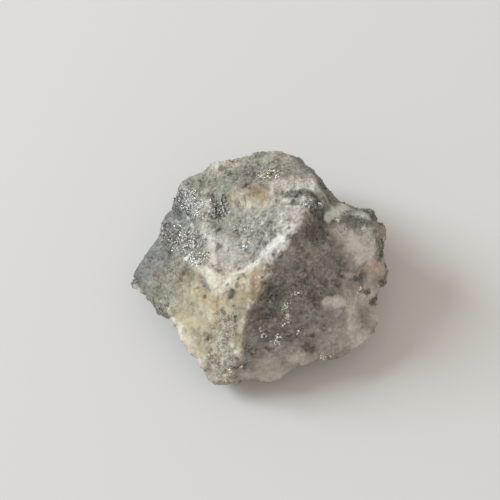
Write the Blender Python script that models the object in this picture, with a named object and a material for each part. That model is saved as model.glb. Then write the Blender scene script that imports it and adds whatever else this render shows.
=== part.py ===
"""A broken lump of grey rock about 65 mm long, one natural piece.

The stone is a net of named break lines. Each line is a run of corners where two
broken faces meet, or the low and high spots of one face. The net is closed by
the hull of the corners' directions from the stone's middle, its long edges are
split into an even mesh, the faces are eased between the sharp lines, and a
rough broken relief is added. It rests on a flat break on its underside.
"""

import bmesh
import bpy
import numpy as np
from mathutils import Matrix

MM = 0.001

# Driving dimensions.
STONE_LENGTH = 65.0 * MM  # along X, left tip to right edge
MESH_EDGE = 2.5 * MM  # no edge of the finished mesh is longer
MIDDLE = (2.0, -3.0, 15.0)  # the point that every corner is seen from, mm

# Corners in millimetres as (X, Y, Z): X to the right, Y away, Z up from the
# resting face. NET_LENGTH is the corners' own length along X.
NET_LENGTH = 64.5

SHARP_LINES = {
    # the high crest, from the peak down to the front foot
    "crest": [
        (13.0, 1.0, 36.0), (12.5, -2.5, 37.0), (11.0, -5.5, 36.5), (9.0, -8.0, 35.0),
        (6.5, -10.0, 33.0), (3.5, -12.5, 30.5), (2.5, -15.0, 28.5), (0.5, -17.0, 27.0),
        (0.0, -19.5, 25.0), (-1.0, -22.0, 23.0), (-1.5, -24.5, 20.5), (-2.0, -27.5, 17.0),
        (-4.0, -30.0, 12.0),
    ],
    # the near lip of the hollow, a V that leaves the crest and turns back
    "lip": [
        (0.0, -14.0, 29.0), (-3.5, -15.5, 27.8), (-7.0, -16.5, 26.0),
        (-9.5, -12.5, 24.9), (-12.5, -8.0, 22.8),
    ],
    # the edge of the upper band, over the hollow's far side
    "brow": [
        (-15.5, 13.0, 23.0), (-12.5, 10.0, 24.5), (-9.0, 8.0, 26.0), (-6.0, 8.5, 28.5),
        (-2.5, 9.5, 31.5), (1.5, 9.5, 33.0), (5.5, 8.0, 34.0), (9.5, 8.0, 34.5),
        (13.0, 7.0, 34.5), (15.5, 7.0, 33.5),
    ],
    # the far rim of the upper band and of the arm
    "back_edge": [
        (-17.0, 16.5, 20.0), (-15.0, 18.5, 20.5), (-11.0, 19.0, 22.0), (-8.5, 20.0, 23.5),
        (-5.5, 20.0, 24.5), (-2.0, 20.5, 25.5), (0.5, 22.0, 26.0), (3.0, 21.5, 26.5),
        (7.5, 20.5, 28.0), (11.0, 19.0, 29.0), (14.0, 16.5, 29.8), (14.5, 14.0, 30.6),
        (16.0, 12.0, 30.5), (17.0, 10.0, 30.3), (19.5, 8.5, 28.3), (22.0, 7.5, 26.0),
        (25.0, 7.0, 25.0), (28.0, 6.5, 24.0), (31.5, 6.5, 21.5), (33.5, 6.5, 18.0),
        (34.0, 4.0, 15.0),
    ],
    "left_edge": [
        (-10.0, -31.0, 6.0), (-11.5, -29.5, 7.0), (-12.0, -28.0, 8.5), (-13.5, -26.0, 9.0),
        (-16.5, -23.0, 10.0), (-18.0, -19.5, 10.0), (-19.5, -17.0, 10.0),
        (-22.0, -14.0, 10.0), (-25.0, -11.5, 9.5), (-27.5, -9.5, 9.0), (-30.0, -7.0, 8.0),
        (-29.5, -4.5, 10.0), (-28.0, -1.5, 11.0), (-26.0, 0.5, 12.0), (-23.0, 5.5, 13.5),
        (-21.5, 10.0, 15.0), (-19.0, 14.0, 18.0),
    ],
    "front_edge": [
        (25.0, -25.0, 8.5), (22.5, -26.0, 8.5), (18.0, -27.0, 8.5), (14.5, -27.5, 8.0),
        (10.0, -28.5, 7.5), (7.5, -30.5, 6.5), (4.5, -31.5, 6.0), (1.5, -30.5, 5.5),
        (-1.5, -31.0, 5.5), (-5.0, -32.0, 5.5), (-8.5, -32.0, 5.0),
    ],
    "right_edge": [
        (33.5, 1.0, 13.0), (32.5, -1.5, 13.0), (34.0, -2.5, 12.0), (34.5, -4.5, 11.0),
        (33.5, -7.0, 10.0), (32.5, -9.5, 9.8), (31.5, -13.0, 9.5), (32.0, -15.5, 9.3),
        (31.0, -18.0, 9.0), (29.0, -22.0, 9.0), (27.5, -24.5, 8.8),
    ],
}

EASED_SPOTS = {
    "hollow_rim": [
        (7.5, -6.0, 33.5), (4.5, -8.0, 30.7), (1.5, -10.5, 28.0), (-1.5, -12.0, 26.5),
        (-5.0, -12.0, 25.5), (-8.0, -9.0, 24.8), (-10.5, -5.0, 23.9), (-13.5, -2.5, 21.4),
    ],
    "hollow": [
        (-12.5, 7.0, 20.5), (-8.5, -1.0, 22.3), (-3.5, -6.5, 24.6), (-6.0, 3.5, 24.0),
        (0.0, -2.0, 27.0), (4.5, -1.5, 31.0), (-1.0, 5.0, 28.0), (8.5, 0.5, 34.5),
        (-17.5, 6.0, 16.5), (-16.0, 10.5, 19.0),
    ],
    "arm": [
        (17.0, 4.5, 33.0), (20.5, 2.5, 30.0), (24.5, 2.5, 27.5), (28.5, 2.5, 25.0),
        (31.5, 2.0, 20.5),
    ],
    "right_face": [
        (16.5, -1.5, 31.0), (23.0, -2.5, 25.5), (28.0, -2.5, 21.5), (31.0, -3.5, 17.0),
        (14.0, -7.5, 30.0), (19.0, -8.5, 24.5), (24.5, -8.5, 20.0), (29.5, -9.0, 15.0),
        (9.5, -12.5, 27.0), (14.0, -13.5, 23.5), (20.5, -14.0, 19.0), (25.5, -14.0, 16.0),
        (29.0, -16.0, 11.5), (4.5, -17.5, 24.0), (9.5, -19.0, 21.5), (15.5, -20.0, 17.5),
        (22.0, -20.0, 14.0), (3.0, -23.0, 19.0), (8.5, -24.5, 16.0), (14.5, -24.0, 12.0),
        (2.5, -27.0, 13.5), (6.0, -28.5, 9.0),
    ],
    "left_face": [
        (-25.0, -6.0, 13.5), (-21.0, -2.0, 16.0), (-21.0, -9.5, 14.5), (-17.0, -7.0, 18.5),
        (-16.0, -13.0, 17.0), (-12.0, -12.5, 21.0), (-14.5, -18.5, 14.0),
        (-9.5, -17.0, 20.5), (-4.0, -18.5, 22.5), (-12.0, -23.0, 12.5), (-6.5, -23.0, 18.5),
        (-9.0, -27.0, 11.0), (-5.5, -27.0, 14.5),
    ],
    "back_upper": [
        (-20.0, 11.5, 14.5), (-14.0, 20.0, 16.0), (-7.0, 22.5, 18.0), (0.0, 25.0, 18.5),
        (7.0, 24.0, 20.0), (13.5, 21.0, 20.5), (19.5, 13.0, 20.0), (26.0, 10.5, 16.0),
        (31.0, 9.0, 13.0),
    ],
    "back_lower": [
        (-21.5, 9.5, 7.0), (-15.0, 21.5, 8.0), (-6.0, 26.0, 8.0), (3.0, 28.0, 9.0),
        (12.0, 25.5, 8.0), (19.5, 18.5, 8.0), (27.0, 14.0, 7.0), (32.0, 9.0, 6.0),
    ],
    "underside": [
        (-24.5, 4.0, 6.0), (-27.0, -3.0, 5.0), (-24.0, -8.0, 4.0), (-19.0, -14.0, 3.5),
        (-14.0, -20.0, 3.5), (-9.0, -26.5, 3.0), (0.0, -26.5, 2.5), (10.0, -24.0, 3.0),
        (20.0, -20.5, 3.5), (27.0, -15.0, 4.0), (29.5, -5.0, 4.0), (30.5, 3.0, 5.0),
    ],
}

# The flat break it rests on, at Z = 0.
RESTING_FACE = [
    (-15.0, -14.0), (-18.0, -2.0), (-16.0, 10.0), (-7.0, 18.0), (6.0, 20.0),
    (17.0, 14.0), (22.0, 4.0), (21.0, -9.0), (12.0, -18.0), (-2.0, -21.0), (2.0, -1.0),
]

# Lumps, pits and ledges that stand on the net: where, how far they reach along
# and across, and how high, in millimetres. A pit's height is below zero.
FORMS = {
    "quartz_knob": ((26.5, -4.0, 22.0), 6.0, 1.6),
    "low_quartz_knob": ((21.5, -15.5, 17.0), 5.5, 1.4),
    "corner_quartz_knob": ((27.5, -17.0, 11.5), 5.0, 1.1),
    "foot_quartz": ((4.5, -29.0, 8.0), 5.0, 1.3),
    "hollow_floor": ((-3.0, -5.0, 25.0), 6.0, -0.6),
    "pit_under_brow": ((4.0, 5.5, 32.5), 3.5, -0.7),
    "shade_pit": ((12.5, -18.5, 21.0), 4.5, -1.2),
    "shade_trough": ((19.5, -7.5, 25.0), 4.5, -1.3),
    "low_trough": ((15.0, -22.0, 15.5), 4.0, -1.0),
    "left_scoop": ((-12.0, -17.5, 18.0), 5.5, -0.8),
    "foot_knob": ((-8.5, -29.0, 10.0), 3.5, 0.7),
    "back_scoop": ((-4.0, 25.0, 14.0), 8.0, -2.2),
    "back_ledge": ((14.0, 22.0, 12.0), 7.0, 1.6),
    "back_pit": ((24.0, 13.0, 12.0), 5.0, -1.3),
    "left_back_scoop": ((-19.0, 15.0, 11.0), 6.0, -1.5),
}

SIZE = STONE_LENGTH / NET_LENGTH  # metres for each millimetre of the net

# Easing between the sharp lines.
SHARP_REACH = 2.2  # how far from a sharp line the easing starts, mm
SHARP_HOLD = 0.2  # the share of the easing that a sharp line itself gets
EASE_ROUNDS = 6
EASE_STEPS = (0.5, -0.52)  # in, then out again, so that the stone doesn't shrink

# Broken relief.
ROUGH_WAVE = 6.0  # the rough relief's longest wave, mm
ROUGH_HEIGHT = 0.35
CHIP_SPACING = 6.5  # between the middles of the chipped facets, mm
CHIP_TILT = 0.22  # how steeply a chipped facet may lean, as a slope
CHIP_CRISP = 14.0  # how sharply one chipped facet gives way to the next
FAR_SIDE_GAIN = 1.8  # how much rougher the far side is than the near side
FAR_SIDE_SLOPE = 0.6  # the far side starts further back where the stone is higher
FAR_SIDE_START = (6.0, 14.0)  # no gain before the first, all of it past the second, mm
SEAT_HEIGHT = 0.6  # what is lower than this isn't eased, mm
RELIEF_START = (0.05, 3.0)  # the relief grows from none to all of it between these heights, mm


def clear_scene():
    for obj in list(bpy.data.objects):
        bpy.data.objects.remove(obj)


def corners():
    """All corners as one array, in millimetres."""
    points = [p for line in SHARP_LINES.values() for p in line]
    points += [p for spots in EASED_SPOTS.values() for p in spots]
    points += [(x, y, 0.0) for x, y in RESTING_FACE]
    return np.array(points)


def closed_net(points):
    """A bmesh of the corners, joined as the hull of their directions from MIDDLE joins them."""
    seen = points - np.array(MIDDLE)
    seen /= np.linalg.norm(seen, axis=1)[:, None]
    net = bmesh.new()
    for place in seen:
        net.verts.new(place)
    bmesh.ops.convex_hull(net, input=net.verts)
    net.verts.index_update()
    for vert, point in zip(net.verts, points):
        vert.co = point
    bmesh.ops.recalc_face_normals(net, faces=net.faces)
    return net


def split_long_edges(net, longest):
    """Splits every edge over longest in two, round by round, into an even mesh of triangles."""
    while True:
        long_edges = [e for e in net.edges if e.calc_length() > longest]
        if not long_edges:
            return
        bmesh.ops.subdivide_edges(net, edges=long_edges, cuts=1)
        bmesh.ops.triangulate(net, faces=net.faces)


def smooth_step(value, low, high):
    share = np.clip((value - low) / (high - low), 0.0, 1.0)
    return share * share * (3.0 - 2.0 * share)


def distance_to_line(places, line):
    """Each place's distance to the nearest stretch of a line of corners."""
    line = np.array(line)
    nearest = np.full(len(places), np.inf)
    for start, end in zip(line[:-1], line[1:]):
        along = end - start
        share = np.clip((places - start) @ along / (along @ along), 0.0, 1.0)
        gap = np.linalg.norm(places - start - share[:, None] * along, axis=1)
        nearest = np.minimum(nearest, gap)
    return nearest


def eased(places, edges):
    """Smooths the net between its sharp lines: each place moves by turns to and from its neighbours."""
    gap = np.min([distance_to_line(places, line) for line in SHARP_LINES.values()], axis=0)
    give = SHARP_HOLD + (1.0 - SHARP_HOLD) * smooth_step(gap, 0.0, SHARP_REACH)
    give[places[:, 2] < SEAT_HEIGHT] = 0.0
    count = np.bincount(edges.ravel(), minlength=len(places))[:, None]
    for _ in range(EASE_ROUNDS):
        for step in EASE_STEPS:
            total = np.zeros_like(places)
            np.add.at(total, edges[:, 0], places[edges[:, 1]])
            np.add.at(total, edges[:, 1], places[edges[:, 0]])
            places = places + (total / count - places) * (step * give)[:, None]
    return places


def scattered(cells):
    """A fixed number from -1 to 1 for each whole-number cell."""
    mixed = (cells[..., 0] * 73856093) ^ (cells[..., 1] * 19349663) ^ (cells[..., 2] * 83492791)
    mixed = ((mixed ^ (mixed >> 13)) * 1274126177) & 0xFFFFFFFF
    return ((mixed ^ (mixed >> 16)) & 0xFFFF) / 32767.5 - 1.0


def waves(places, length):
    """Smooth noise from -1 to 1 whose lumps are about length apart."""
    cell = np.floor(places / length).astype(np.int64)
    share = places / length - cell
    share = share * share * (3.0 - 2.0 * share)
    total = np.zeros(len(places))
    for corner in np.ndindex(2, 2, 2):
        weight = np.prod(np.where(corner, share, 1.0 - share), axis=1)
        total += weight * scattered(cell + np.array(corner))
    return total


def rough_relief(places):
    """Waves of three lengths, each half as long and as high as the one before."""
    octaves = range(3)
    return ROUGH_HEIGHT * sum(waves(places + 31.7 * k, ROUGH_WAVE / 2**k) / 2**k for k in octaves)


def chipped_relief(places):
    """Leaning facets, one round each point of a shaken lattice, as blows leave them on rock.

    Every place takes the mean of the facets' planes, weighted by a bell of its
    distance to each facet's middle, so that a facet is flat until near its rim.
    """
    home = np.floor(places / CHIP_SPACING).astype(np.int64)
    height = np.zeros(len(places))
    share = np.full(len(places), 1e-9)
    for step in np.ndindex(3, 3, 3):
        cell = home + np.array(step) - 1
        shake = np.stack([scattered(cell + shift) for shift in (11, 47, 83)], axis=1)
        lean = np.stack([scattered(cell + shift) for shift in (131, 173, 211)], axis=1)
        reach = places - (cell + 0.5 + 0.4 * shake) * CHIP_SPACING
        weight = np.exp(-CHIP_CRISP * np.sum(reach**2, axis=1) / CHIP_SPACING**2)
        height += weight * CHIP_TILT * np.sum(reach * lean, axis=1)
        share += weight
    return height / share


def standing_forms(places):
    """The height that FORMS adds at each place."""
    height = np.zeros(len(places))
    for middle, reach, rise in FORMS.values():
        gap = np.linalg.norm(places - np.array(middle), axis=1) / reach
        height += rise * np.clip(1.0 - gap**2, 0.0, None) ** 2
    return height


def outward(places, faces):
    """Each place's outward direction."""
    across = np.cross(
        places[faces[:, 1]] - places[faces[:, 0]], places[faces[:, 2]] - places[faces[:, 0]]
    )
    normals = np.zeros_like(places)
    for corner in range(3):
        np.add.at(normals, faces[:, corner], across)
    return normals / np.linalg.norm(normals, axis=1)[:, None]


def stone_mesh():
    net = closed_net(corners())
    split_long_edges(net, MESH_EDGE / SIZE)
    net.verts.index_update()
    places = np.array([v.co[:] for v in net.verts])
    faces = np.array([[v.index for v in f.verts] for f in net.faces])
    edges = np.array([[v.index for v in e.verts] for e in net.edges])

    places = eased(places, edges)
    far_side = smooth_step(places[:, 1] - FAR_SIDE_SLOPE * places[:, 2], *FAR_SIDE_START)
    height = rough_relief(places) + chipped_relief(places)
    height = height * (1.0 + (FAR_SIDE_GAIN - 1.0) * far_side) + standing_forms(places)
    height *= smooth_step(places[:, 2], *RELIEF_START)
    places = places + outward(places, faces) * height[:, None]
    places[:, 2] = np.maximum(places[:, 2], 0.0)

    places[:, :2] -= (places[:, :2].min(axis=0) + places[:, :2].max(axis=0)) / 2
    for vert, place in zip(net.verts, places):
        vert.co = place
    mesh = bpy.data.meshes.new("stone")
    net.to_mesh(mesh)
    net.free()
    mesh.transform(Matrix.Scale(SIZE, 4))
    return mesh


def stone_material():
    material = bpy.data.materials.new("grey_rock")
    material.use_nodes = True
    shader = material.node_tree.nodes["Principled BSDF"]
    shader.inputs["Base Color"].default_value = (0.36, 0.34, 0.30, 1.0)
    shader.inputs["Roughness"].default_value = 0.75
    shader.inputs["Metallic"].default_value = 0.0
    return material


def main():
    clear_scene()
    stone = bpy.data.objects.new("stone", stone_mesh())
    stone.data.materials.append(stone_material())
    bpy.context.scene.collection.objects.link(stone)


main()
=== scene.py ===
"""The looks of a broken lump of grey rock with quartz and small brassy grains.

Lengths are in metres where no comment says mm. The stone's skin is drawn onto
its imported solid, roughened, and coloured by patches of minerals.
"""

import bmesh
import bpy
import numpy as np
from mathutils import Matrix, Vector
from mathutils.bvhtree import BVHTree


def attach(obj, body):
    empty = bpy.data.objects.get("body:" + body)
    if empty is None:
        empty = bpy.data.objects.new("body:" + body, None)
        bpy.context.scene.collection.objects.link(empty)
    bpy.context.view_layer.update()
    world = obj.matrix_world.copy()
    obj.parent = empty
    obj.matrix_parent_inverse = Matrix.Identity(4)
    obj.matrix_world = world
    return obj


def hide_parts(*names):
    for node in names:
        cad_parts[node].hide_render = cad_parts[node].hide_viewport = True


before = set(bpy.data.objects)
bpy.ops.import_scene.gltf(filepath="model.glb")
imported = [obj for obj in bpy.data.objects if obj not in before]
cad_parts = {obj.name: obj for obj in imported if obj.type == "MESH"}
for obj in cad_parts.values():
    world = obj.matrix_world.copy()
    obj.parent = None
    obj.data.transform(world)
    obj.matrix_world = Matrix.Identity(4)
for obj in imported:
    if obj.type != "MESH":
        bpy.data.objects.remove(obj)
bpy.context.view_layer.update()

# ---------------------------------------------------------------------------
# The setting: a sheet of pale paper under one big window on the left, with soft
# light from the room, and a camera that looks steeply down on the stone.
# ---------------------------------------------------------------------------
MM = 0.001
PAPER_SIZE = 3.0
PAPER_COLOUR = (0.72, 0.72, 0.725, 1.0)
PAPER_ROUGHNESS = 0.9
VIEW_ELEVATION = np.radians(64.0)
VIEW_DISTANCE = 262 * MM
VIEW_CENTRE = Vector((-2.6, 1.95, 15.1)) * MM
VIEW_NEAREST = 0.01
LENS = 75.0  # mm
WINDOW_WAY = Vector((-0.79, 0.24, 0.57)).normalized()
WINDOW_DISTANCE = 2.0
WINDOW_SIZE = 0.83
WINDOW_POWER = 31.5
WINDOW_COLOUR = (0.84, 0.95, 1.0)
ROOM_COLOUR = (1.0, 0.89, 0.785, 1.0)
ROOM_POWER = 0.6


def paper():
    """A flat square in the plane Z = 0."""
    half = PAPER_SIZE / 2
    corners = [(-half, -half, 0), (half, -half, 0), (half, half, 0), (-half, half, 0)]
    mesh = bpy.data.meshes.new("paper")
    mesh.from_pydata(corners, [], [(0, 1, 2, 3)])
    return bpy.data.objects.new("paper", mesh)


def new_material(name):
    """A material, its node tree and its shader."""
    material = bpy.data.materials.new(name)
    material.use_nodes = True
    return material, material.node_tree, material.node_tree.nodes["Principled BSDF"]


def paper_material():
    """Plain matt paper, near white."""
    material, _, shader = new_material("pale_paper")
    shader.inputs["Base Color"].default_value = PAPER_COLOUR
    shader.inputs["Roughness"].default_value = PAPER_ROUGHNESS
    return material


def aimed(thing, name, place, back):
    """An object at place whose own -Z points against back."""
    holder = bpy.data.objects.new(name, thing)
    holder.location = place
    holder.rotation_mode = "QUATERNION"
    holder.rotation_quaternion = back.to_track_quat("Z", "Y")
    bpy.context.scene.collection.objects.link(holder)
    return holder


floor = paper()
floor.data.materials.append(paper_material())
bpy.context.scene.collection.objects.link(floor)

window = bpy.data.lights.new("window", "AREA")
window.size = WINDOW_SIZE
window.energy = WINDOW_POWER
window.color = WINDOW_COLOUR
aimed(window, "window", WINDOW_WAY * WINDOW_DISTANCE, WINDOW_WAY)

room = bpy.data.worlds.new("room")
room.use_nodes = True
room.node_tree.nodes["Background"].inputs["Color"].default_value = ROOM_COLOUR
room.node_tree.nodes["Background"].inputs["Strength"].default_value = ROOM_POWER
bpy.context.scene.world = room
bpy.context.scene.view_settings.view_transform = "Standard"

lens = bpy.data.cameras.new("camera")
lens.lens = LENS
lens.clip_start = VIEW_NEAREST
view_back = Vector((0.0, -np.cos(VIEW_ELEVATION), np.sin(VIEW_ELEVATION)))
view_up = Vector((0.0, np.sin(VIEW_ELEVATION), np.cos(VIEW_ELEVATION)))
camera = aimed(lens, "camera", VIEW_CENTRE + view_back * VIEW_DISTANCE, view_back)
bpy.context.scene.camera = camera

# ---------------------------------------------------------------------------
# The stone: one broken lump of fine grey rock with patches of milky quartz,
# crushed white quartz, stained beige rock and dark ore. It lies on a flat break.
# ---------------------------------------------------------------------------
GRID = 128  # cells along each side of the cube that is blown up into the stone
BALL_MIDDLE = np.array((-0.6, -1.0, 15.0))  # sees the whole surface, mm
BALL_RADIUS = 1.0  # mm
GUIDE_LEVELS = 2
MERGE_DISTANCE = 1e-6

FRAME = 500  # the camera's view is a square, this many spots wide and high

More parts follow.
